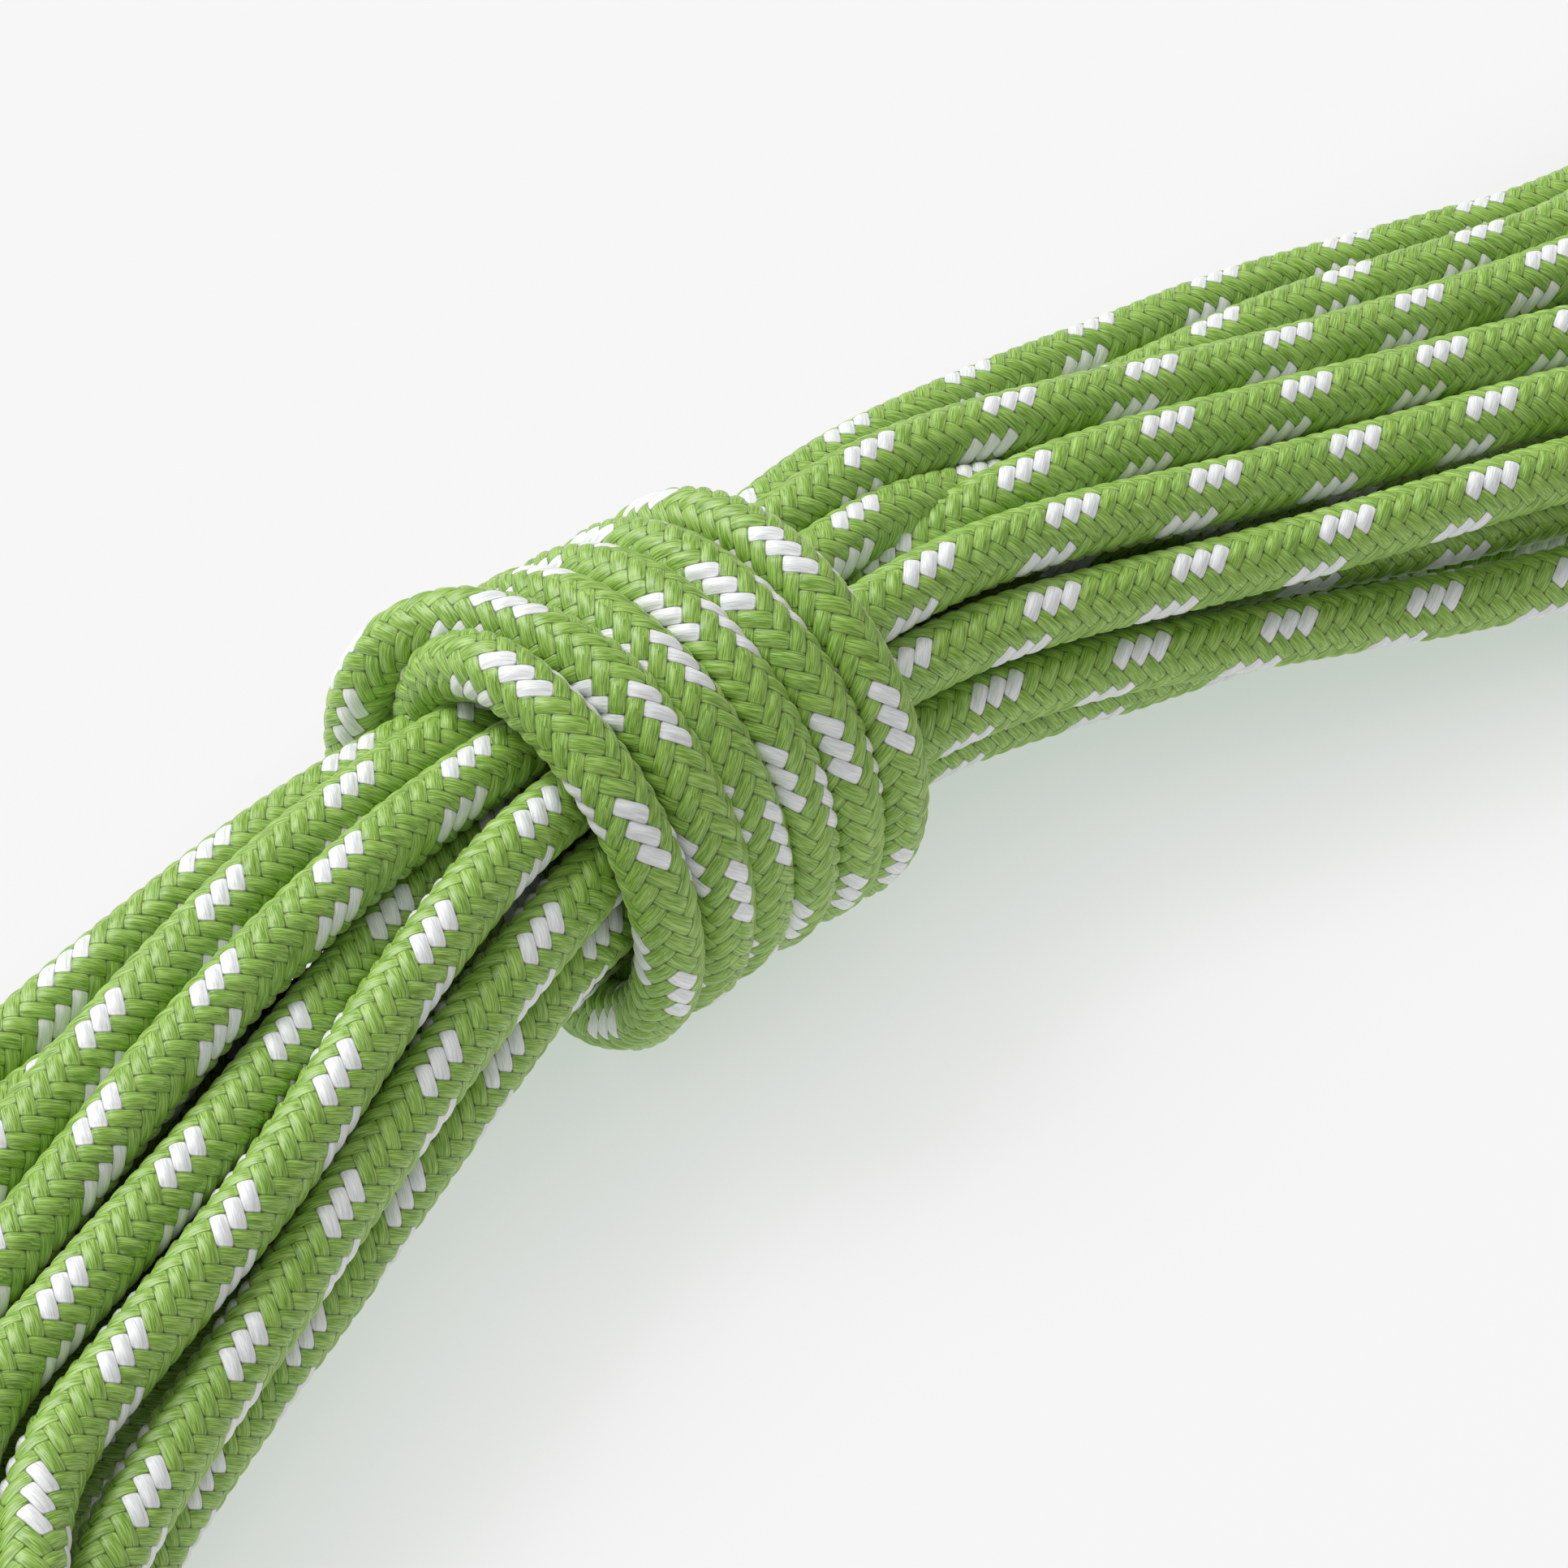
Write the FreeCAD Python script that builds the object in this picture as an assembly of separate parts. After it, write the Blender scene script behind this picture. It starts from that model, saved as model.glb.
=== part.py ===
import FreeCAD
import Part
import math
import os

# A hank of thin kernmantle cord, tied round its waist by turns of the same rope.
# Millimetres. +X runs along the hank, +Z is up, and the surface it lies on is z = 0.
# The origin is on that surface, under the middle of the waist.

V = FreeCAD.Vector

# ---- driving dimensions ----
ROPE_D = 5.0
ROPE_R = ROPE_D / 2.0

# rope construction, as it shows at the two free ends
SHEATH_WALL = 0.75
CORE_STRANDS = 7
CORE_STRAND_R = 0.52
CORE_RING_R = 1.12

# waist: the squeezed bundle and the turns round it
WAIST_R = 11.5
WAIST_TURNS = 6
TURN_STEP = 4.4
TURNS_R = 16.5
REST_DIP = 0.15

# end sleeves and melted tips
SLEEVE_WALL = 0.3
SLEEVE_LENGTH = 12.0
TIP_LENGTH = 1.2
TIP_CORNER = 0.6

# an arc of a tail's route takes up this share of its shorter run, each side of the point
ARC_SHARE = 0.45

# hank sections outside the waist: x, y and height of the centre, half width, half height
LEFT_SECTIONS = [
    (-20.0, -1.4, 16.6, 13.4, 12.7),
    (-35.0, -4.2, 15.5, 15.2, 12.1),
    (-50.0, -7.8, 13.7, 17.2, 11.2),
    (-65.0, -11.6, 11.9, 18.6, 10.4),
    (-82.0, -16.6, 10.3, 20.8, 9.9),
    (-99.0, -21.9, 9.75, 24.3, 9.9),
    (-110.0, -24.4, 9.6, 21.8, 9.75),
    (-118.0, -26.0, 9.6, 15.6, 9.3),
    (-122.5, -26.8, 9.6, 8.2, 7.4),
]
RIGHT_SECTIONS = [
    (24.0, 1.7, 16.8, 13.7, 12.6),
    (40.0, 0.5, 14.9, 16.4, 11.8),
    (55.0, -2.3, 13.1, 18.2, 10.8),
    (70.0, -5.4, 11.5, 20.6, 10.0),
    (85.0, -9.2, 10.4, 22.2, 9.6),
    (100.0, -13.9, 9.75, 23.0, 9.5),
    (118.0, -20.0, 9.6, 24.3, 9.75),
    (129.0, -22.6, 9.5, 21.8, 9.6),
    (137.0, -24.4, 9.5, 15.6, 9.0),
    (141.5, -25.3, 9.5, 8.2, 7.2),
]

# free stretches of the rope's two ends, as route points on the surface: x and y
TAIL_Z = ROPE_R + SLEEVE_WALL
# tail A leaves the right loops on their near side; tail B leaves the waist turns underneath
# and lies along the hank's far side
TAIL_A = [
    (109.0, -33.3),
    (128.0, -44.3),
    (150.0, -43.6),
    (170.0, -34.4),
]
TAIL_B = [
    (10.0, 1.5),
    (24.0, 6.5),
    (39.0, 11.0),
    (54.0, 12.9),
    (69.0, 12.4),
    (85.0, 11.0),
    (101.0, 9.8),
    (117.0, 9.4),
    (133.0, 9.9),
    (149.0, 8.6),
    (164.0, 4.3),
]


def save(shape, node):
    """One solid or group of solids, as one file."""
    assert shape.isValid(), node
    assert shape.Solids, node
    shape.exportStep("parts/" + node + ".step")
    print("%-22s solids %d  volume %8.1f mm3" % (node, len(shape.Solids), shape.Volume))


os.makedirs("parts", exist_ok=True)


# ---- hank ----
def section_wire(x, y, z, half_w, half_h, heading):
    """An ellipse across the bundle, square to its heading in plan."""
    across = V(-math.sin(heading), math.cos(heading), 0)
    centre = V(x, y, z)
    if half_w >= half_h:
        major = centre + across * half_w
        minor = centre + V(0, 0, half_h)
    else:
        major = centre + V(0, 0, half_h)
        minor = centre - across * half_w
    return Part.Wire([Part.Ellipse(major, minor, centre).toShape()])


def round_wire(x, z, radius, across):
    """A circle across the waist, which lies along X. across points to its far side."""
    centre = V(x, 0, z)
    circle = Part.Ellipse(centre + across * (radius + 1e-4), centre + V(0, 0, radius), centre)
    return Part.Wire([circle.toShape()])


def bundle_side(sections, waist_x, waist_z):
    """One side of the hank: a smooth loft from the waist to its loop end."""
    wires = [round_wire(waist_x, waist_z, WAIST_R, V(0, 1, 0))]
    for i, (x, y, z, half_w, half_h) in enumerate(sections):
        before = sections[i - 1] if i else (waist_x, 0.0)
        after = sections[i + 1] if i + 1 < len(sections) else (x, y)
        side = 1.0 if waist_x > 0 else -1.0
        heading = math.atan2((after[1] - before[1]) * side, (after[0] - before[0]) * side)
        wires.append(section_wire(x, y, z, half_w, half_h, heading))
    return Part.makeLoft(wires, True, False)


def above_surface(shape):
    """The shape with what dips under the surface cut off flat."""
    box = shape.BoundBox
    depth = 10.0
    slab = Part.makeBox(
        box.XLength + 2 * depth,
        box.YLength + 2 * depth,
        depth,
        V(box.XMin - depth, box.YMin - depth, -depth),
    )
    return shape.cut(slab)


turns_half = WAIST_TURNS * TURN_STEP / 2.0
waist_z = TURNS_R - REST_DIP

left_side = bundle_side(LEFT_SECTIONS, -turns_half, waist_z)
right_side = bundle_side(RIGHT_SECTIONS, turns_half, waist_z)
waist_ends = [round_wire(x, waist_z, WAIST_R, V(0, 1, 0)) for x in (-turns_half, turns_half)]
waist = Part.makeLoft(waist_ends, True, True)
hank = above_surface(left_side.fuse([waist, right_side])).Solids[0]
save(hank, "hank_turns")


# ---- waist turns ----
def waist_ring():
    """The six touching turns as one ring, with its shoulders as round as the rope."""
    inner = WAIST_R
    outer = TURNS_R
    flat = turns_half - ROPE_R
    mid = outer - ROPE_R
    bulge = ROPE_R * math.sqrt(0.5)
    points = {
        "in_left": V(-turns_half, 0, waist_z + inner),
        "mid_left": V(-turns_half, 0, waist_z + mid),
        "arc_left": V(-flat - bulge, 0, waist_z + mid + bulge),
        "top_left": V(-flat, 0, waist_z + outer),
        "top_right": V(flat, 0, waist_z + outer),
        "arc_right": V(flat + bulge, 0, waist_z + mid + bulge),
        "mid_right": V(turns_half, 0, waist_z + mid),
        "in_right": V(turns_half, 0, waist_z + inner),
    }
    edges = [
        Part.LineSegment(points["in_left"], points["mid_left"]).toShape(),
        Part.Arc(points["mid_left"], points["arc_left"], points["top_left"]).toShape(),
        Part.LineSegment(points["top_left"], points["top_right"]).toShape(),
        Part.Arc(points["top_right"], points["arc_right"], points["mid_right"]).toShape(),
        Part.LineSegment(points["mid_right"], points["in_right"]).toShape(),
        Part.LineSegment(points["in_right"], points["in_left"]).toShape(),
    ]
    face = Part.Face(Part.Wire(edges))
    return face.revolve(V(0, 0, waist_z), V(1, 0, 0), 360)


ring = above_surface(waist_ring()).Solids[0]
save(ring, "waist_turns")


# ---- tails ----
def outside_the_hank(shape):
    """The part of a tail's piece that the wound rope doesn't cover."""
    return shape.cut(hank).cut(ring)


def route_edges(points, side_shift, up_shift):
    """Straight runs joined by tangent arcs, moved sideways and up as a parallel line.

    Returns the edges, the radius at each turn and the length."""
    flat = [V(x, y, 0) for x, y in points]
    edges = []
    radii = []
    at = None
    for i in range(1, len(flat) - 1):
        into = flat[i] - flat[i - 1]
        out = flat[i + 1] - flat[i]
        shorter = min(into.Length, out.Length)
        into.normalize()
        out.normalize()
        turn = math.atan2(into.x * out.y - into.y * out.x, into.dot(out))
        cut = ARC_SHARE * shorter
        radius = cut / math.tan(abs(turn) / 2.0)
        radii.append(radius)
        left_in = V(-into.y, into.x, 0)
        left_out = V(-out.y, out.x, 0)
        sign = 1.0 if turn > 0 else -1.0
        centre = flat[i] - into * cut + left_in * sign * radius
        arc_r = radius - sign * side_shift
        middle = left_in + left_out
        middle.normalize()
        raise_by = V(0, 0, TAIL_Z + up_shift)
        start = centre - left_in * sign * arc_r + raise_by
        halfway = centre - middle * sign * arc_r + raise_by
        end = centre - left_out * sign * arc_r + raise_by
        if at is None:
            at = flat[0] + left_in * side_shift + raise_by
        edges.append(Part.LineSegment(at, start).toShape())
        edges.append(Part.Arc(start, halfway, end).toShape())
        at = end
        if i == len(flat) - 2:
            last = flat[-1] + left_out * side_shift + raise_by
            edges.append(Part.LineSegment(at, last).toShape())
    return edges, radii, sum(e.Length for e in edges)


def swept(edges, radius):
    """A round bar of that radius along the edges."""
    wire = Part.Wire(edges)
    first = edges[0]
    start = first.valueAt(first.FirstParameter)
    along = first.tangentAt(first.FirstParameter)
    profile = Part.Wire([Part.Circle(start, along, radius).toShape()])
    return wire.makePipeShell([profile], True, True)


def tail(name, points):
    """One free end of the rope: sheath, core strands, end sleeve and melted tip."""
    edges, radii, length = route_edges(points, 0, 0)
    print("%s radii mm %s, length %.1f" % (name, [round(r, 1) for r in radii], length))
    bore_r = ROPE_R - SHEATH_WALL
    solid_rope = swept(edges, ROPE_R)
    sheath = outside_the_hank(solid_rope.cut(swept(edges, bore_r)))
    expected = math.pi * ROPE_R**2 * length
    print("%s volume over section x length: %.4f" % (name, solid_rope.Volume / expected))
    save(sheath, name + "_sheath")

    offsets = [(0.0, 0.0)]
    for k in range(CORE_STRANDS - 1):
        angle = 2 * math.pi * k / (CORE_STRANDS - 1)
        offsets.append((CORE_RING_R * math.cos(angle), CORE_RING_R * math.sin(angle)))
    for k, (side, up) in enumerate(offsets):
        strand = outside_the_hank(swept(route_edges(points, side, up)[0], CORE_STRAND_R))
        save(strand, "%s_core_strand_%d" % (name, k + 1))

    end = V(points[-1][0], points[-1][1], TAIL_Z)
    out = V(points[-1][0] - points[-2][0], points[-1][1] - points[-2][1], 0)
    out.normalize()
    sleeve_start = end - out * SLEEVE_LENGTH
    sleeve = Part.makeCylinder(ROPE_R + SLEEVE_WALL, SLEEVE_LENGTH, sleeve_start, out)
    sleeve = sleeve.cut(Part.makeCylinder(ROPE_R, SLEEVE_LENGTH, sleeve_start, out))
    save(sleeve, name + "_end_sleeve")

    tip = Part.makeCylinder(ROPE_R, TIP_LENGTH, end, out)
    outer_edge = [e for e in tip.Edges if (e.CenterOfMass - end).dot(out) > TIP_LENGTH - 1e-6]
    save(tip.makeFillet(TIP_CORNER, outer_edge), name + "_melted_tip")


tail("tail_a", TAIL_A)
tail("tail_b", TAIL_B)
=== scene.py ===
"""Looks of a hank of braided 5 mm cord, built round its CAD model, in metres.

One cord, from the tip of tail A to the tip of tail B: ten long turns laid side by side, then six turns
wound round their middle. Its sheath is a braid of sixteen yarns, three of them white.
"""
import math

import bpy
import numpy as np
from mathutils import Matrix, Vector


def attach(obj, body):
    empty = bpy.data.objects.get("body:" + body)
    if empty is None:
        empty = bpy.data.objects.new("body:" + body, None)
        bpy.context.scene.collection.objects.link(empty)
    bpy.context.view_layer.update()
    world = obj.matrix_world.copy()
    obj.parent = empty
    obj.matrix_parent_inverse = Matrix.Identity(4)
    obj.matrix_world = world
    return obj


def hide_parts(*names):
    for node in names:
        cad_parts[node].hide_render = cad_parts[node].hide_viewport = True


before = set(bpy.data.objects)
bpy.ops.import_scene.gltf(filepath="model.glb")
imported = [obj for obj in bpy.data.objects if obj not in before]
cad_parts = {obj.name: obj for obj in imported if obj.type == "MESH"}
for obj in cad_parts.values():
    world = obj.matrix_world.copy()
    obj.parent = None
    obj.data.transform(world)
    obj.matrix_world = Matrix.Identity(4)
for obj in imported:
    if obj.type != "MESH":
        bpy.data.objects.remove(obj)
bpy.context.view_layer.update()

MM = 0.001
ROPE_D = 5.0 * MM
ROPE_R = ROPE_D / 2
rng = np.random.default_rng(7)

# ---- the hank's guide: x, y, z of its middle, half width, half height, from the left loops to the right ones
WAIST_Z = 16.35
WAIST_R = 11.5
GUIDE_MM = (
    (-99.0, -21.9, 9.9, 22.6, 9.9), (-82.0, -16.6, 10.3, 20.8, 9.9), (-65.0, -11.6, 11.9, 18.6, 10.4),
    (-50.0, -7.8, 13.7, 17.2, 11.2), (-35.0, -4.2, 15.5, 15.2, 12.1), (-20.0, -1.4, 16.6, 13.4, 12.7),
    (-13.2, 0.0, WAIST_Z, WAIST_R, WAIST_R), (0.0, 0.0, WAIST_Z, WAIST_R, WAIST_R),
    (13.2, 0.0, WAIST_Z, WAIST_R, WAIST_R),
    (24.0, 1.7, 16.8, 13.7, 12.6), (40.0, 0.5, 14.9, 16.4, 11.8), (55.0, -2.3, 13.1, 18.2, 10.8),
    (70.0, -5.4, 11.5, 20.6, 10.0), (85.0, -9.2, 10.4, 22.2, 9.6), (100.0, -13.9, 9.75, 23.0, 9.5),
    (118.0, -20.0, 9.75, 23.0, 9.75),
)
STATION = 5.8 * MM               # distance between the route's points along the hank
TAIL_A_MM = ((112.0, -43.6), (120.0, -45.3), (131.0, -46.0), (150.0, -43.6), (170.0, -34.4))
TAIL_B_MM = ((24.0, 6.5), (39.0, 11.0), (54.0, 12.9), (69.0, 12.4), (85.0, 11.0), (101.0, 10.6),
             (117.0, 11.6), (133.0, 11.0), (149.0, 8.6), (164.0, 4.3))
TAIL_Z = 2.8 * MM

# ---- the ten long turns: ten strands on the near side and ten on the far side
TURNS = 10
SIDE_PLACES = (                  # each turn's place on its side, in shares of the half width and half height
    (0.90, -0.46), (0.90, 0.46), (0.68, 0.74), (0.41, 0.92), (0.58, 0.0),
    (0.68, -0.74), (0.41, -0.92), (0.13, -0.98), (0.26, 0.0), (0.14, 0.98),
)
FOLD_PLACES = (                  # each turn's column and level where it goes round an end loop
    (2, 0), (2, 1), (2, 2), (1, 2), (1, 1), (1, 0), (0, 0), (0, 1), (0, 2), (0, 3),
)
FOLD_RADII = (3.05, 4.0, 4.95)   # of each column, in diameters
FOLD_SLACK = 1.04                # how far past the outer column a strand may stray
FOLD_BOTTOM = 0.52               # height of the lowest level, in diameters
FOLD_LEVEL = 0.95                # height of one level over the next, in diameters
FOLD_TOP = 0.5 + 3.2 * FOLD_LEVEL
FOLD_STEPS = 11                  # points round half a loop
LEFT_FOLD, RIGHT_FOLD = 100, 200  # the first number of the planes across each end loop
TAIL_A_STATIONS = 3              # tail A joins the first strand this many stations from its end
LEAD_IN_X = -36 * MM             # the last strand leaves its place in the hank here
OPENING = 27 * MM                # length over which the hank opens into an end loop
WANDER = (1.1 * MM, 0.6 * MM)    # how far a strand strays across and up
WANDER_KNOTS = 9

# ---- the six turns round the waist, in diameters, measured from the waist's middle
WAIST_TURNS = 6
TURN_STEPS = 24
TURN_START = 84.0                # degrees from the far side, over the top
TURN_TOPS = (-3.2, -2.28, -1.22, -0.45, 0.42, 1.24, 2.26)
TURN_RADII = (3.0, 2.95, 2.84, 2.8, 2.8, 2.8)
LOOSE_SHARE = (0.55, 1.01)       # this stretch of the winding is the loose loop below
LAST_SHARE = 5.46                # the winding ends in its last turn, underneath
LAST_DRIFT = (5.06, 0.25)        # from this share on it moves right by so many diameters a turn
FLOOR_LEVEL = 0.5
LEAD_IN = (
    (-6.2, 0.1, 4.0), (-5.2, 0.6, 3.35), (-4.3, 0.95, 2.95), (-3.5, 1.2, 3.0), (-2.8, 1.4, 3.45),
    (-2.42, 1.64, 4.3), (-2.34, 1.6, 5.15), (-2.32, 1.08, 5.84),
)
LOOSE_LOOP = (
    (-2.25, 1.75, 1.25), (-2.62, 2.42, 2.2), (-2.82, 2.64, 3.1), (-2.85, 2.68, 4.0),
    (-2.68, 2.55, 4.85), (-2.34, 2.25, 5.54), (-1.88, 1.64, 6.04), (-1.5, 0.8, 6.2),
)
LEAD_OUT = ((2.5, -0.3, 0.56), (2.85, 0.4, 0.56), (3.4, 0.9, 0.56), (4.05, 1.15, 0.56))

# ---- settling the strands against each other
ROUNDS = 900
PUSHES = 2                       # in each round
STIFFNESS = 0.45
PUSH = 0.5
HEXAGON = 0.866                  # area of a strand's place over its width squared
SPREAD = 0.97                    # width that a strand may take, over its share of the section
NARROWEST, WIDEST = 0.92, 1.22   # limits of that width, in diameters
FINISH = 8                       # rounds of smoothing alone at the end

# ---- the braid: yarns of one direction cross those of the other at whole numbers of both
PITCH = 12.5 * MM                # length in which a yarn goes once round
YARNS = 8                        # in each direction
CELL = 4                         # grid steps across one crossing
COLUMNS = YARNS * CELL           # points on one ring; the next ring's lie between them
RINGS = 2 * COLUMNS              # rings in one pitch
ROW = PITCH / RINGS
RELIEF = 0.30 * MM               # depth between the yarns
WHITE_YARNS = 3                  # of the eight that wind to the left
SPANS = 13                       # the sheath's mesh is kept in this many lengths
ARCH_END = 0.30                  # height of a stitch's ends over that of its middle
ARCH_POWER, ROUND_POWER = 0.7, 2.6
BESIDE = 0.02                    # a grid point takes the highest yarn within this share of a crossing

# ---- the core
CORE_R = 0.40                    # in rope diameters
CORE_FLUTE = 0.02                # half the depth of its grooves, in rope diameters
CORE_STRANDS = 6                 # round the middle one
CORE_SIDES = 2 * CORE_STRANDS
CORE_STEP = 24                   # rings of the sheath for one of the core

# ---- smoothness of the line
CURVE_STEPS = 14                 # points for one control point
TANGENT_WINDOW = 9               # rings over which its direction is averaged

# ---- colours
GREEN_BASE = (0.19, 0.38, 0.04)  # under the nodes that colour each stitch
GREEN_A, GREEN_B = (0.162, 0.335, 0.020), (0.218, 0.405, 0.032)
GREEN_LIT, GREEN_DEEP = (0.420, 0.640, 0.160), (0.105, 0.235, 0.008)
WHITE_A, WHITE_B = (0.70, 0.73, 0.74), (0.92, 0.93, 0.93)
SHEEN_TINT = (0.98, 1.0, 0.70)
CORE_WHITE = (0.8, 0.8, 0.78)
SLEEVE_BLACK = (0.012, 0.012, 0.013)
TIP_GREEN = (0.10, 0.22, 0.03)
FLOOR_GREY = (0.12, 0.12, 0.12)
# painted light: the floor glows with the first colour, and with the second as a painted contact shadow where
# the rope is near
PAINTED_FLOOR_LIGHT, PAINTED_CONTACT_SHADOW = (0.768, 0.768, 0.768), (0.47, 0.53, 0.48)
PAINTED_SHADOW_REACH = 22 * MM          # painted shadow: the floor's painted glow is dimmer this near to the rope
FLOOR_HALF = 3.0

# ---- light and camera
SKY, SKY_STRENGTH = (1.0, 1.0, 0.985), 0.46
SUN_TOWARDS = (-0.30, 0.94, 1.15)
SUN_STRENGTH, SUN_SPREAD = 2.75, 34
CAMERA_AT = (-0.2018, -0.2394, 0.2965)
CAMERA_LOOKS = (0.4973, 0.5523, -0.6691)
CAMERA_LENS, CAMERA_SENSOR = 137.9, 36.0


def smoothstep(t):
    return t * t * (3 - 2 * t)


# ------------------------------------------------------------------ route

def hank_stations():
    """Evenly spaced sections of the hank, and the level direction across it at each."""
    guide = np.array(GUIDE_MM) * MM
    along = np.concatenate([[0], np.cumsum(np.hypot(*np.diff(guide[:, :2], axis=0).T))])
    at = np.linspace(0, along[-1], int(round(along[-1] / STATION)) + 1)
    table = np.stack([np.interp(at, along, guide[:, k]) for k in range(5)], axis=1)
    for _ in range(2):
        table[1:-1] = (table[:-2] + 2 * table[1:-1] + table[2:]) / 4
    heading = np.arctan2(np.gradient(table[:, 1]), np.gradient(table[:, 0]))
    across = np.stack([-np.sin(heading), np.cos(heading), 0 * heading], axis=1)
    return table, across


def fold_place(turn, middle_z):
    column, level = FOLD_PLACES[turn]
    return FOLD_RADII[column] * ROPE_D, ROPE_D * (FOLD_BOTTOM + level * FOLD_LEVEL) - middle_z


def strand_place(turn, section, opened):
    """A strand's distance from the hank's middle and its height over it."""
    out, up = SIDE_PLACES[turn]
    body = np.array([out * (section[3] - ROPE_R), up * (section[4] - ROPE_R)])
    fold = np.array(fold_place(turn, section[2]))
    return body + (fold - body) * smoothstep(opened)


class Route:
    """The route's points, and the plane in which each may move: -1 for a point that stays."""

    def __init__(self):
        self.points = []
        self.plane = []

    def add(self, point, plane=-1):
        self.points.append(np.array(point, float))
        self.plane.append(plane)


def opened_share(station, count):
    return max(0.0, 1 - min(station, count - 1 - station) * STATION / OPENING)


def long_turns(route, table, across):
    """Near strand, left loop, far strand, right loop, and so on, from the outer turns to the inner ones."""
    count = len(table)
    knots = np.linspace(0, count - 1, WANDER_KNOTS)

    def strand(side, turn, stations):
        stray = rng.normal(0, 1, (WANDER_KNOTS, 2)) * WANDER
        for s in stations:
            opened = opened_share(s, count)
            out, up = strand_place(turn, table[s], opened)
            drift = [np.interp(s, knots, stray[:, k]) * (1 - opened) for k in range(2)]
            point = table[s, :3] + across[s] * (side * out + drift[0])
            route.add(point + np.array([0, 0, up + drift[1]]), s)

    def end_loop(end, turn_in, turn_out):
        s, plane = (0, LEFT_FOLD) if end < 0 else (count - 1, RIGHT_FOLD)
        middle, side = table[s, :3], across[s] * end
        forward = np.array([across[s][1], -across[s][0], 0]) * end
        for i in range(1, FOLD_STEPS):
            share = i / FOLD_STEPS
            first = np.array(fold_place(turn_in, middle[2]))
            last = np.array(fold_place(turn_out, middle[2]))
            radius, up = first + (last - first) * smoothstep(share)
            angle = math.pi * share
            radial = side * math.cos(angle) + forward * math.sin(angle)
            route.add(middle + radial * radius + np.array([0, 0, up]), plane + i)

    lead_in = int(np.argmin(np.abs(table[:, 0] - LEAD_IN_X)))
    for turn in range(TURNS):
        first = count - 1 if turn else count - TAIL_A_STATIONS
        strand(-1, turn, range(first, -1, -1))
        end_loop(-1, turn, turn)
        is_last = turn == TURNS - 1
        strand(1, turn, range(0, lead_in + 1 if is_last else count))
        if not is_last:
            end_loop(1, turn, turn + 1)


def waist_winding(route):
    """Out of the hank on the left, six turns to the right, and in again underneath."""
    middle_z = WAIST_Z * MM / ROPE_D

    def add(point):
        route.add(np.array(point) * ROPE_D)

    for point in LEAD_IN:
        add(point)
    for step in range(WAIST_TURNS * TURN_STEPS):
        share = step / TURN_STEPS
        if step == TURN_STEPS:
            for point in LOOSE_LOOP:
                add(point)
        if LOOSE_SHARE[0] < share < LOOSE_SHARE[1] or share > LAST_SHARE:
            continue
        x = np.interp(share + (TURN_START - 90) / 360, range(-1, WAIST_TURNS), TURN_TOPS)
        x += LAST_DRIFT[1] * max(0.0, share - LAST_DRIFT[0])
        radius = np.interp(share, range(WAIST_TURNS), TURN_RADII)
        angle = math.radians(TURN_START + 360 * share)
        add((x, radius * math.cos(angle), max(middle_z + radius * math.sin(angle), FLOOR_LEVEL)))
    for point in LEAD_OUT:
        add(point)


def settle(points, plane, table, across):
    """Strands in one section push each other apart inside the hank's outline, and each resists bending.

    Points with plane -1 stay. A plane's number is a station of the hank or one across an end loop."""
    count = len(table)
    moves = plane >= 0
    first, second = [], []
    for group in np.unique(plane[moves]):
        members = np.where(plane == group)[0]
        a, b = np.triu_indices(len(members), 1)
        first.append(members[a])
        second.append(members[b])
    first, second = np.concatenate(first), np.concatenate(second)
    area = math.pi * table[:, 3] * table[:, 4] / (2 * TURNS)
    spread = np.clip(np.sqrt(area / HEXAGON) * SPREAD, NARROWEST * ROPE_D, WIDEST * ROPE_D)
    station = plane[first]
    gap_wanted = np.where(station < count, spread[np.clip(station, 0, count - 1)], ROPE_D)

    body = np.where(moves & (plane < count))[0]
    at = plane[body]
    side, middle = across[at], table[at, :3]
    half_w, half_h = table[at, 3] - ROPE_R, table[at, 4] - ROPE_R
    opened = np.minimum(at, count - 1 - at) * STATION < OPENING
    fold = np.where(plane >= count)[0]
    fold_middle = np.where((plane[fold] < RIGHT_FOLD)[:, None], table[0, :3], table[-1, :3])
    free = moves.astype(float)[:, None]
    start = points.copy()
    for turn in range(ROUNDS):
        ease = min(1.0, 2.0 * (1 - turn / ROUNDS))
        shift = points - start
        points[1:-1] += ((shift[:-2] + shift[2:]) / 2 - shift[1:-1]) * STIFFNESS * ease * free[1:-1]
        for _ in range(PUSHES):
            gap = points[first] - points[second]
            distance = np.linalg.norm(gap, axis=1)
            near = distance < gap_wanted
            share = ((gap_wanted - distance) / np.maximum(distance, 1e-9))[near, None]
            push = gap[near] * share * PUSH / 2
            move = np.zeros_like(points)
            for k in range(3):
                move[:, k] += np.bincount(first[near], push[:, k], len(points))
                move[:, k] -= np.bincount(second[near], push[:, k], len(points))
            points += move * free
            offset = points[body] - middle
            out, up = (offset * side).sum(1), offset[:, 2]
            over = np.maximum(np.hypot(out / half_w, up / half_h), 1.0)
            over = np.where(opened, 1.0, over)
            points[body] = middle + side * (out / over)[:, None]
            points[body, 2] += up / over
            offset = points[fold, :2] - fold_middle[:, :2]
            radius = np.hypot(offset[:, 0], offset[:, 1])
            wanted = np.clip(radius, FOLD_RADII[0] * ROPE_D, FOLD_RADII[2] * ROPE_D * FOLD_SLACK)
            points[fold, :2] = fold_middle[:, :2] + offset * (wanted / radius)[:, None]
            points[fold, 2] = np.minimum(points[fold, 2], ROPE_D * FOLD_TOP)
        low = moves & (points[:, 2] < ROPE_R)
        points[low, 2] = ROPE_R
    for _ in range(FINISH):
        shift = points - start
        points[1:-1] += ((shift[:-2] + shift[2:]) / 2 - shift[1:-1]) * STIFFNESS * free[1:-1]
    return points


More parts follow.
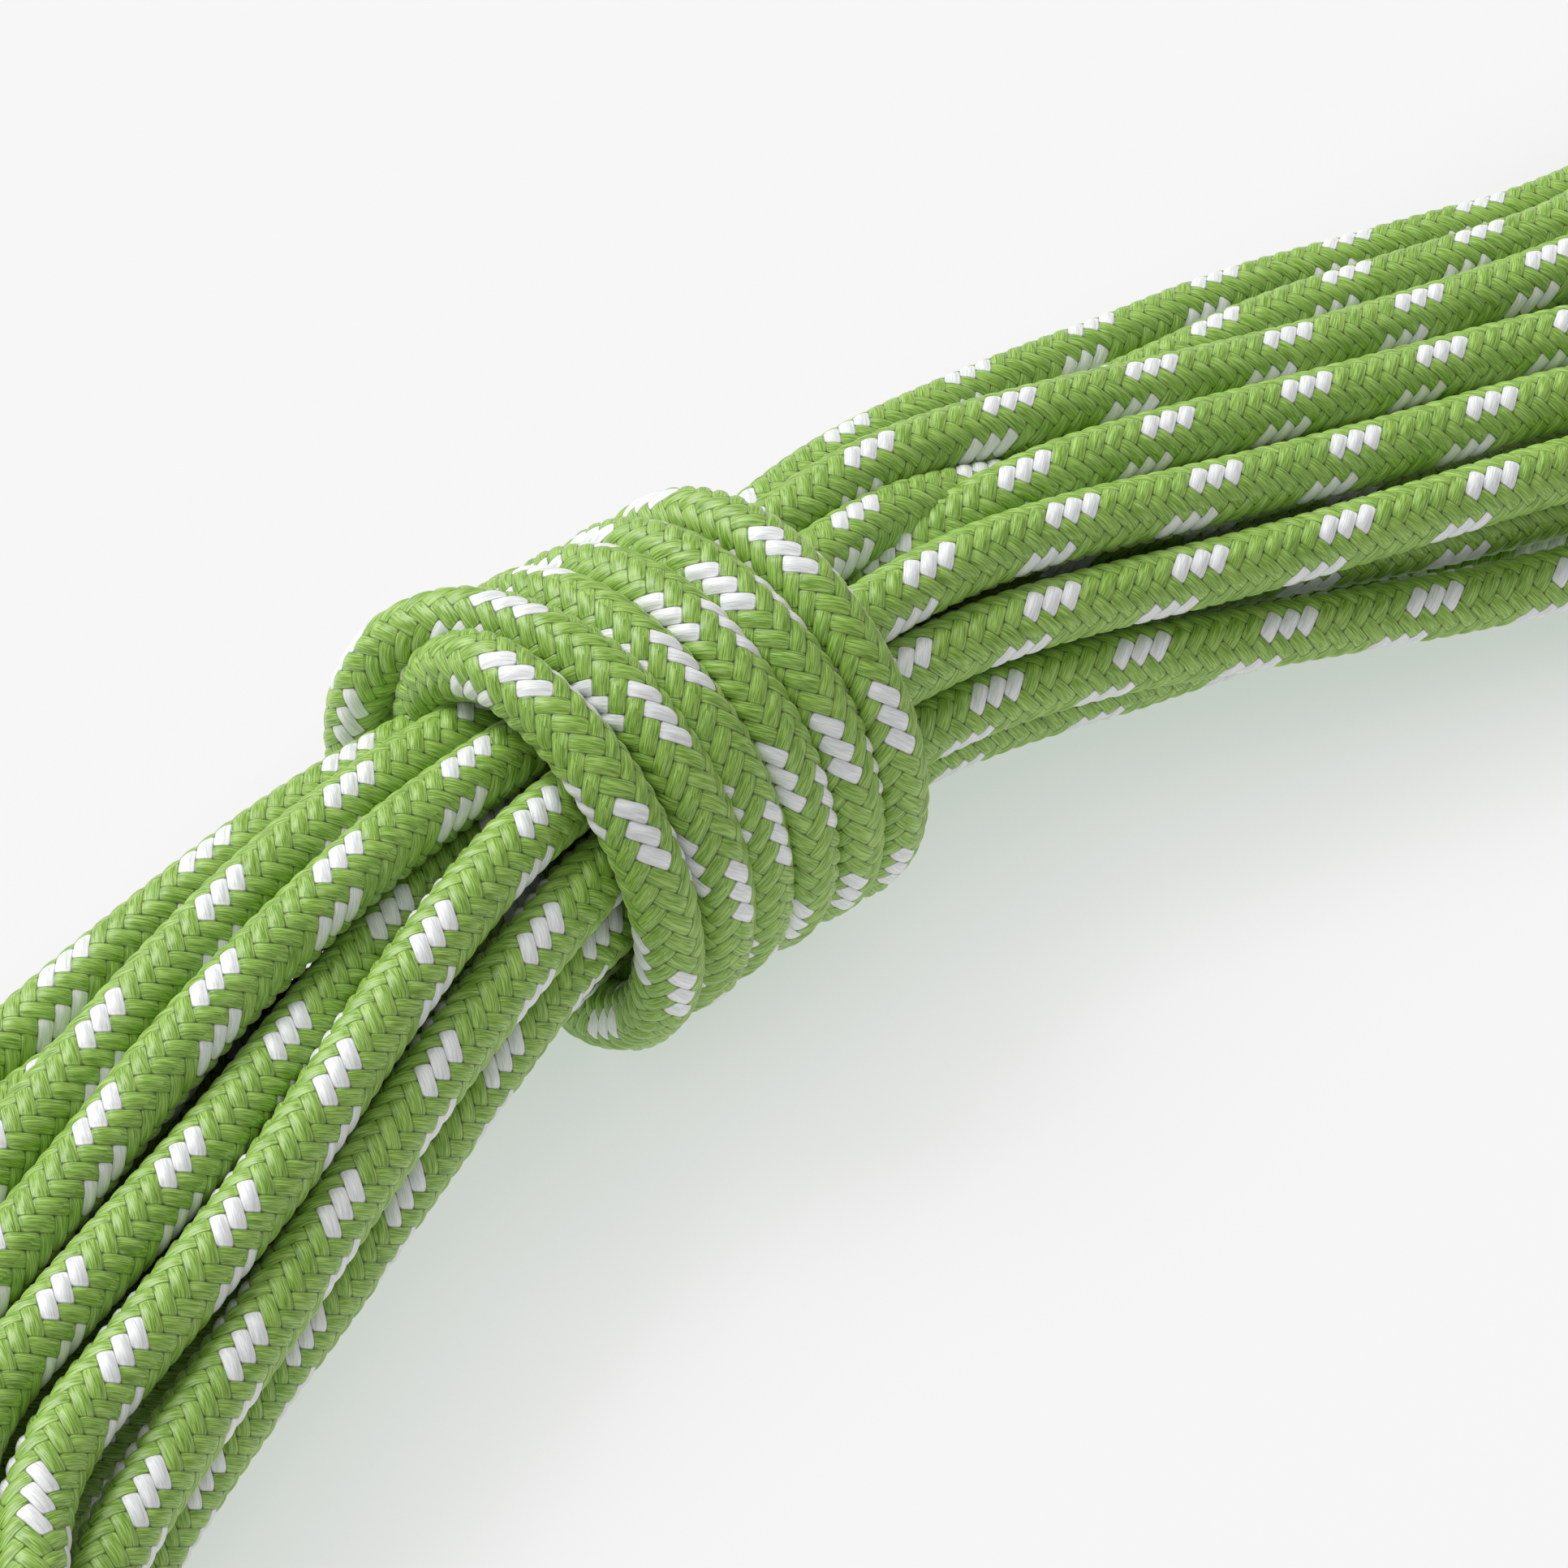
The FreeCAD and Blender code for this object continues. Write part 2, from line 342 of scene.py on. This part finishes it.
def route_points():
    table, across = hank_stations()
    route = Route()
    for x, y in reversed(TAIL_A_MM):
        route.add((x * MM, y * MM, TAIL_Z))
    long_turns(route, table, across)
    waist_winding(route)
    for x, y in TAIL_B_MM:
        route.add((x * MM, y * MM, TAIL_Z))
    return settle(np.array(route.points), np.array(route.plane), table, across)


def spline_line(points):
    """The smooth line of a NURBS spline with these control points."""
    curve = bpy.data.curves.new("cord_line", "CURVE")
    curve.dimensions = "3D"
    curve.resolution_u = CURVE_STEPS
    spline = curve.splines.new("NURBS")
    spline.points.add(len(points) - 1)
    spline.points.foreach_set("co", np.column_stack([points, np.ones(len(points))]).ravel())
    spline.order_u = 3
    spline.use_endpoint_u = True
    holder = bpy.data.objects.new("cord_line", curve)
    bpy.context.collection.objects.link(holder)
    bpy.context.view_layer.update()
    mesh = bpy.data.meshes.new_from_object(holder)
    line = np.empty(len(mesh.vertices) * 3)
    mesh.vertices.foreach_get("co", line)
    bpy.data.objects.remove(holder)
    bpy.data.curves.remove(curve)
    bpy.data.meshes.remove(mesh)
    return line.reshape(-1, 3)


def rings_along(line, spacing):
    """Evenly spaced centres along a line, with two directions across it that don't twist."""
    along = np.concatenate([[0], np.cumsum(np.linalg.norm(np.diff(line, axis=0), axis=1))])
    at = np.arange(0, along[-1], spacing)
    centre = np.stack([np.interp(at, along, line[:, k]) for k in range(3)], axis=1)
    tangent = np.gradient(centre, axis=0)
    kernel = np.hanning(TANGENT_WINDOW)[1:-1]
    kernel /= kernel.sum()
    margin = len(kernel) // 2
    padded = np.pad(tangent, ((margin, margin), (0, 0)), mode="edge")
    tangent = np.stack([np.convolve(padded[:, k], kernel, mode="valid") for k in range(3)], axis=1)
    tangent /= np.linalg.norm(tangent, axis=1)[:, None]
    normal = np.empty_like(centre)
    side = np.cross(tangent[0], (0, 0, 1.0))
    for i, direction in enumerate(tangent):
        side = side - direction * (side @ direction)
        side = side / math.sqrt(side @ side)
        normal[i] = side
    return centre, normal, np.cross(tangent, normal), along[-1]


# ------------------------------------------------------------------ meshes

def new_mesh(name, points, faces, material, body="root"):
    mesh = bpy.data.meshes.new(name)
    mesh.vertices.add(len(points))
    mesh.vertices.foreach_set("co", np.ascontiguousarray(points, np.float32).ravel())
    mesh.loops.add(faces.size)
    mesh.loops.foreach_set("vertex_index", faces.ravel().astype(np.int32))
    mesh.polygons.add(len(faces))
    mesh.polygons.foreach_set("loop_start", np.arange(0, faces.size, faces.shape[1], dtype=np.int32))
    mesh.update(calc_edges=True)
    mesh.validate()
    mesh.polygons.foreach_set("use_smooth", np.ones(len(faces), bool))
    mesh.materials.append(material)
    piece = bpy.data.objects.new(name, mesh)
    bpy.context.collection.objects.link(piece)
    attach(piece, body)
    return piece


def grid_faces(rows, columns):
    """Quads of a tube's grid, closed round and open at both ends."""
    row, column = np.meshgrid(np.arange(rows - 1), np.arange(columns), indexing="ij")
    beside = (column + 1) % columns
    quads = (row * columns + column, row * columns + beside,
             (row + 1) * columns + beside, (row + 1) * columns + column)
    return np.stack(quads, axis=-1).reshape(-1, 4)


def diamond_faces(first, rows):
    """Diamonds between rings whose points lie halfway between those of the next: one for each point."""
    row, column = np.meshgrid(np.arange(rows), np.arange(COLUMNS), indexing="ij")
    odd = (row + first) % 2
    left, right = (column - 1 + odd) % COLUMNS, (column + odd) % COLUMNS
    quads = (row * COLUMNS + column, (row + 1) * COLUMNS + right, (row + 2) * COLUMNS + column,
             (row + 1) * COLUMNS + left)
    return np.stack(quads, axis=-1).reshape(-1, 4)


def add_attribute(piece, name, values):
    layer = piece.data.attributes.new(name, "FLOAT", "POINT")
    layer.data.foreach_set("value", np.ascontiguousarray(values, np.float32).ravel())


def pillow(across, along):
    """Height of a stitch, from 0 to 1: round across the yarn and arched from end to end."""
    arch = ARCH_END + (1 - ARCH_END) * np.sin(math.pi * np.clip(along, 0, 1)) ** ARCH_POWER
    return (1 - np.abs(2 * across) ** ROUND_POWER) * arch


def braid_height(right, left):
    """Height at a place given by its yarn numbers: a yarn goes over two of the others, then under two."""
    over, under = np.floor(right + 0.5), np.floor(left + 0.5)
    from_over, from_under = right - over, left - under
    place = (under - over) % 4
    second = place % 2
    right_stitch = pillow(from_over, (from_under + 0.5 + second) / 2)
    left_stitch = pillow(from_under, (0.5 - from_over + second) / 2)
    return np.where(place < 2, right_stitch, left_stitch)


def braid_grid(rows):
    """Angle and height of each point of the sheath's grid, ring by ring."""
    row = np.arange(rows)[:, None]
    step = 2 * np.arange(COLUMNS)[None, :] + row % 2
    right, left = (row - step) / (2 * CELL), (row + step) / (2 * CELL)
    height = np.zeros(step.shape)
    for aside, ahead in ((BESIDE, BESIDE), (BESIDE, -BESIDE), (-BESIDE, BESIDE), (-BESIDE, -BESIDE)):
        height = np.maximum(height, braid_height(right + aside, left + ahead))
    return step * math.pi / COLUMNS, height


def sheath_pieces(centre, normal, binormal, material):
    """The braided sheath, in lengths that follow one another without a step."""
    rows = len(centre)
    angle, height = braid_grid(rows)
    radius = (ROPE_R - RELIEF * (1 - height))[..., None]
    across, up = np.cos(angle)[..., None], np.sin(angle)[..., None]
    points = centre[:, None] + radius * (across * normal[:, None] + up * binormal[:, None])
    cuts = np.linspace(0, rows - 2, SPANS + 1).astype(int)
    pieces = []
    for number, (first, last) in enumerate(zip(cuts[:-1], cuts[1:]), 1):
        span = slice(first, last + 2)
        faces = diamond_faces(first, last - first)
        piece = new_mesh(f"sheath_{number:02d}", points[span].reshape(-1, 3), faces, material)
        add_attribute(piece, "ring", np.repeat(np.arange(first, last + 2), COLUMNS) / CELL)
        add_attribute(piece, "side_x", np.cos(angle[span]))
        add_attribute(piece, "side_y", np.sin(angle[span]))
        pieces.append(piece)
    return pieces


def core_piece(centre, normal, binormal, material):
    """The core inside the sheath: one tube, grooved between its outer strands."""
    chosen = np.arange(0, len(centre), CORE_STEP)
    angle = 2 * math.pi * np.arange(CORE_SIDES) / CORE_SIDES
    radius = ROPE_D * (CORE_R + CORE_FLUTE * np.cos(angle * CORE_STRANDS))
    across, up = np.cos(angle)[None, :, None], np.sin(angle)[None, :, None]
    outward = across * normal[chosen][:, None] + up * binormal[chosen][:, None]
    points = centre[chosen][:, None] + radius[None, :, None] * outward
    piece = new_mesh("core", points.reshape(-1, 3), grid_faces(len(chosen), CORE_SIDES), material)
    return piece, centre[chosen]


# ------------------------------------------------------------------ materials

def material(name, base, roughness, sheen=0.0):
    new = bpy.data.materials.new(name)
    new.use_nodes = True
    nodes, links = new.node_tree.nodes, new.node_tree.links
    shader = nodes["Principled BSDF"]
    shader.inputs["Base Color"].default_value = (*base, 1)
    shader.inputs["Roughness"].default_value = roughness
    shader.inputs["Sheen Weight"].default_value = sheen
    return new, nodes, links, shader


class Graph:
    """Short words for a material's nodes: a number, a colour or another node's output goes into each."""

    def __init__(self, nodes, links):
        self.nodes, self.links = nodes, links

    def _fill(self, socket, value):
        if isinstance(value, bpy.types.NodeSocket):
            self.links.new(value, socket)
        elif isinstance(value, tuple):
            socket.default_value = (*value, 1)
        else:
            socket.default_value = value

    def attribute(self, name):
        node = self.nodes.new("ShaderNodeAttribute")
        node.attribute_name = name
        return node.outputs["Fac"]

    def calc(self, operation, *values):
        node = self.nodes.new("ShaderNodeMath")
        node.operation = operation
        for socket, value in zip(node.inputs, values):
            self._fill(socket, value)
        return node.outputs[0]

    def ramp(self, value, low, high, out_low=0.0, out_high=1.0):
        node = self.nodes.new("ShaderNodeMapRange")
        node.interpolation_type = "SMOOTHSTEP"
        for key, number in (("Value", value), ("From Min", low), ("From Max", high),
                            ("To Min", out_low), ("To Max", out_high)):
            self._fill(node.inputs[key], number)
        return node.outputs[0]

    def choose(self, share, a, b):
        """a where share is 0, b where it is 1."""
        return self.calc("ADD", a, self.calc("MULTIPLY", share, self.calc("SUBTRACT", b, a)))

    def mix(self, share, a, b, blend="MIX"):
        node = self.nodes.new("ShaderNodeMix")
        node.data_type = "RGBA"
        node.blend_type = blend
        for key, value in ((0, share), (6, a), (7, b)):
            self._fill(node.inputs[key], value)
        return node.outputs[2]

    def vector(self, *values):
        node = self.nodes.new("ShaderNodeCombineXYZ")
        for socket, value in zip(node.inputs, values):
            self._fill(socket, value)
        return node.outputs[0]

    def noise(self, vector, scale, detail):
        node = self.nodes.new("ShaderNodeTexNoise")
        node.inputs["Scale"].default_value = scale
        node.inputs["Detail"].default_value = detail
        self.links.new(vector, node.inputs["Vector"])
        return node.outputs["Fac"]

    def random(self, vector):
        node = self.nodes.new("ShaderNodeTexWhiteNoise")
        self.links.new(vector, node.inputs["Vector"])
        return node.outputs["Value"]


def braid_coordinates(graph):
    """Whether the yarn on top winds left, its number, the place across and along its stitch, and its stitch.

    right and left count the yarns of each direction, as braid_height does."""
    calc = graph.calc
    ring = graph.attribute("ring")
    angle = calc("ARCTAN2", graph.attribute("side_y"), graph.attribute("side_x"))
    turn = calc("MULTIPLY", angle, YARNS / math.pi)
    right = calc("MULTIPLY", calc("SUBTRACT", ring, turn), 0.5)
    left = calc("MULTIPLY", calc("ADD", ring, turn), 0.5)
    over, under = calc("FLOOR", calc("ADD", right, 0.5)), calc("FLOOR", calc("ADD", left, 0.5))
    from_over, from_under = calc("SUBTRACT", right, over), calc("SUBTRACT", left, under)
    place = calc("FLOORED_MODULO", calc("SUBTRACT", under, over), 4.0)
    winds_left = calc("GREATER_THAN", place, 1.5)
    second = calc("FLOORED_MODULO", place, 2.0)
    across = graph.choose(winds_left, from_over, from_under)
    travel = graph.choose(winds_left, from_under, calc("MULTIPLY", from_over, -1.0))
    along = calc("MULTIPLY", calc("ADD", calc("ADD", travel, 0.5), second), 0.5)
    number = graph.choose(winds_left, over, under)
    stitch = graph.choose(winds_left, calc("SUBTRACT", under, second), calc("ADD", over, second))
    return winds_left, number, across, along, stitch


def braid_material():
    """Glossy yarns of fine fibres, with painted shade that darkens them where they dip under each other."""
    new, nodes, links, shader = material("braid_green", GREEN_BASE, 0.5, 0.42)
    shader.inputs["Sheen Roughness"].default_value = 0.35
    shader.inputs["Sheen Tint"].default_value = (*SHEEN_TINT, 1)
    shader.inputs["Specular IOR Level"].default_value = 0.65
    graph = Graph(nodes, links)
    calc, ramp, mix = graph.calc, graph.ramp, graph.mix
    winds_left, number, across, along, stitch = braid_coordinates(graph)

    is_white = calc("LESS_THAN", calc("FLOORED_MODULO", number, float(YARNS)), WHITE_YARNS - 0.5)
    white = calc("MULTIPLY", is_white, winds_left)
    tone = graph.random(graph.vector(number, stitch, winds_left))
    aside = calc("ADD", across, calc("MULTIPLY", tone, 37.0))       # other fibres on each stitch
    fibres = graph.noise(graph.vector(aside, calc("MULTIPLY", along, 0.12), tone), 16.0, 4.0)

    # painted shade: near each stitch's sides and ends, where the yarns dip under each other, this share falls
    # from 1 to 0.16 and darkens the yarn's colour; the same share also gives the bump's height
    width = calc("ABSOLUTE", calc("MULTIPLY", across, 2.0))
    reach = calc("ABSOLUTE", calc("SUBTRACT", calc("MULTIPLY", along, 2.0), 1.0))
    edge = calc("ADD", calc("POWER", width, 5.0), calc("POWER", reach, 9.0))
    crease_height_and_shade = ramp(edge, 0.45, 1.45, 1.0, 0.16)

    green = mix(tone, GREEN_A, GREEN_B)
    green = mix(ramp(fibres, 0.38, 0.72), green, GREEN_LIT)
    green = mix(ramp(fibres, 0.50, 0.25), green, GREEN_DEEP)
    pale = mix(ramp(fibres, 0.35, 0.65), WHITE_A, WHITE_B)
    yarn = mix(white, green, pale)
    # painted shade: the yarn's colour is multiplied by the crease shade
    shade = nodes.new("ShaderNodeCombineColor")
    for socket in shade.inputs:
        links.new(crease_height_and_shade, socket)
    links.new(mix(1.0, yarn, shade.outputs[0], "MULTIPLY"), shader.inputs["Base Color"])
    links.new(ramp(fibres, 0.3, 0.7, 0.34, 0.52), shader.inputs["Roughness"])
    height = calc("ADD", calc("MULTIPLY", fibres, 0.35), calc("MULTIPLY", crease_height_and_shade, 0.8))
    bump = nodes.new("ShaderNodeBump")
    bump.inputs["Strength"].default_value = 0.7
    bump.inputs["Distance"].default_value = 0.10 * MM
    links.new(height, bump.inputs["Height"])
    links.new(bump.outputs[0], shader.inputs["Normal"])
    return new


def plain_material(name, base, roughness, grain, depth):
    """A smooth surface with a fine uneven grain."""
    new, nodes, links, shader = material(name, base, roughness)
    noise = nodes.new("ShaderNodeTexNoise")
    noise.inputs["Scale"].default_value = grain
    noise.inputs["Detail"].default_value = 4.0
    bump = nodes.new("ShaderNodeBump")
    bump.inputs["Strength"].default_value = 0.5
    bump.inputs["Distance"].default_value = depth
    links.new(noise.outputs["Fac"], bump.inputs["Height"])
    links.new(bump.outputs[0], shader.inputs["Normal"])
    return new


# ------------------------------------------------------------------ the cord

def build_cord():
    line = spline_line(route_points())
    centre, normal, binormal, length = rings_along(line, ROW)
    sheath = sheath_pieces(centre, normal, binormal, braid_material())
    core_look = plain_material("core_white", CORE_WHITE, 0.7, 900, 0.1 * MM)
    core, path = core_piece(centre, normal, binormal, core_look)
    tails = [f"tail_{t}" for t in "ab"]
    strands = [f"{t}_core_strand_{i}" for t in tails for i in range(1, 8)]
    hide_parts(*strands)
    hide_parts("hank_turns", "tail_a_sheath")
    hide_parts("waist_turns", "tail_b_sheath")
    sleeve_look = plain_material("sleeve_black", SLEEVE_BLACK, 0.38, 1500, 0.05 * MM)
    tip_look = plain_material("tip_green", TIP_GREEN, 0.30, 1800, 0.08 * MM)
    for tail in tails:
        for name, look in ((f"{tail}_end_sleeve", sleeve_look), (f"{tail}_melted_tip", tip_look)):
            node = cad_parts[name]
            node.data.materials.clear()
            node.data.materials.append(look)
    [float(c) for c in path[0]]
    [[float(c) for c in p] for p in path]
    return length


# ------------------------------------------------------------------ floor, light and camera

def build_floor():
    """A pale floor with painted light: it glows by itself, and glows less round the rope as a painted shadow.
    """
    mesh = bpy.data.meshes.new("floor")
    corners = [(x * FLOOR_HALF, y * FLOOR_HALF, 0) for x, y in ((-1, -1), (1, -1), (1, 1), (-1, 1))]
    mesh.from_pydata(corners, [], [(0, 1, 2, 3)])
    look, nodes, links, shader = material("floor", FLOOR_GREY, 0.9)
    graph = Graph(nodes, links)
    # painted shadow: ambient occlusion dims the floor's painted glow near the rope
    openness = nodes.new("ShaderNodeAmbientOcclusion")
    openness.samples = 8
    openness.inputs["Distance"].default_value = PAINTED_SHADOW_REACH
    painted_floor_light = graph.mix(openness.outputs["AO"], PAINTED_CONTACT_SHADOW, PAINTED_FLOOR_LIGHT)
    links.new(painted_floor_light, shader.inputs["Emission Color"])
    shader.inputs["Emission Strength"].default_value = 1.0
    mesh.materials.append(look)
    floor = bpy.data.objects.new("floor", mesh)
    bpy.context.collection.objects.link(floor)


def build_light():
    world = bpy.data.worlds.new("studio")
    world.use_nodes = True
    background = world.node_tree.nodes["Background"]
    background.inputs["Color"].default_value = (*SKY, 1)
    background.inputs["Strength"].default_value = SKY_STRENGTH
    bpy.context.scene.world = world
    bpy.context.scene.view_settings.view_transform = "Standard"

    light = bpy.data.lights.new("key", "SUN")
    light.energy = SUN_STRENGTH
    light.angle = math.radians(SUN_SPREAD)
    lamp = bpy.data.objects.new("key", light)
    lamp.rotation_euler = (-Vector(SUN_TOWARDS)).to_track_quat("-Z", "Y").to_euler()
    bpy.context.collection.objects.link(lamp)


def build_camera():
    camera = bpy.data.cameras.new("camera")
    camera.sensor_width = CAMERA_SENSOR
    camera.lens = CAMERA_LENS
    holder = bpy.data.objects.new("camera", camera)
    holder.location = CAMERA_AT
    holder.rotation_euler = Vector(CAMERA_LOOKS).to_track_quat("-Z", "Y").to_euler()
    bpy.context.collection.objects.link(holder)
    bpy.context.scene.camera = holder


build_camera()
build_floor()
build_light()
CORD_LENGTH = build_cord()
print("cord length", round(CORD_LENGTH, 4))
